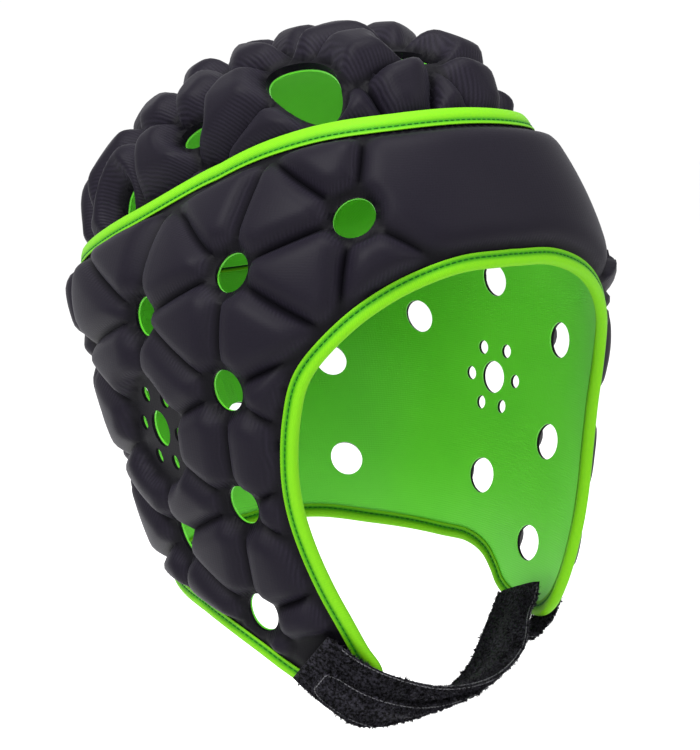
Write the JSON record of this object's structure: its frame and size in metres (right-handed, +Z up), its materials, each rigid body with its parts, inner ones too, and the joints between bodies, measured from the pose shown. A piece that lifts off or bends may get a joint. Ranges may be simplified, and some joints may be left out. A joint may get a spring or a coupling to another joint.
{
  "type": "padded head guard",
  "caption": "Soft padded head guard with a grooved, vented foam band, an open vented crown, bound edges and a lapped chin strap, worn over the head.",
  "frame": {"origin": "inside of the crown on the middle plane, where the top of the head bears", "axes": "+Z up, -Y the way the face looks, +X the wearer's left"},
  "size_m": [0.1861, 0.2241, 0.2455],
  "materials": {
    "shell_cloth": "charcoal stretch knit over foam pads",
    "lining_cloth": "smooth green lining knit",
    "binding_tape": "lime folded tape with a stitched line",
    "strap_pile": "black loop pile"
  },
  "bodies": {
    "root": {"band_shell": "shell_cloth", "band_lining": "lining_cloth", "crown_shell": "shell_cloth", "crown_lining": "lining_cloth", "crown_binding": "binding_tape", "face_binding": "binding_tape", "nape_binding": "binding_tape", "loop_strap": "strap_pile", "hook_strap": "strap_pile"}
  },
  "joints": []
}
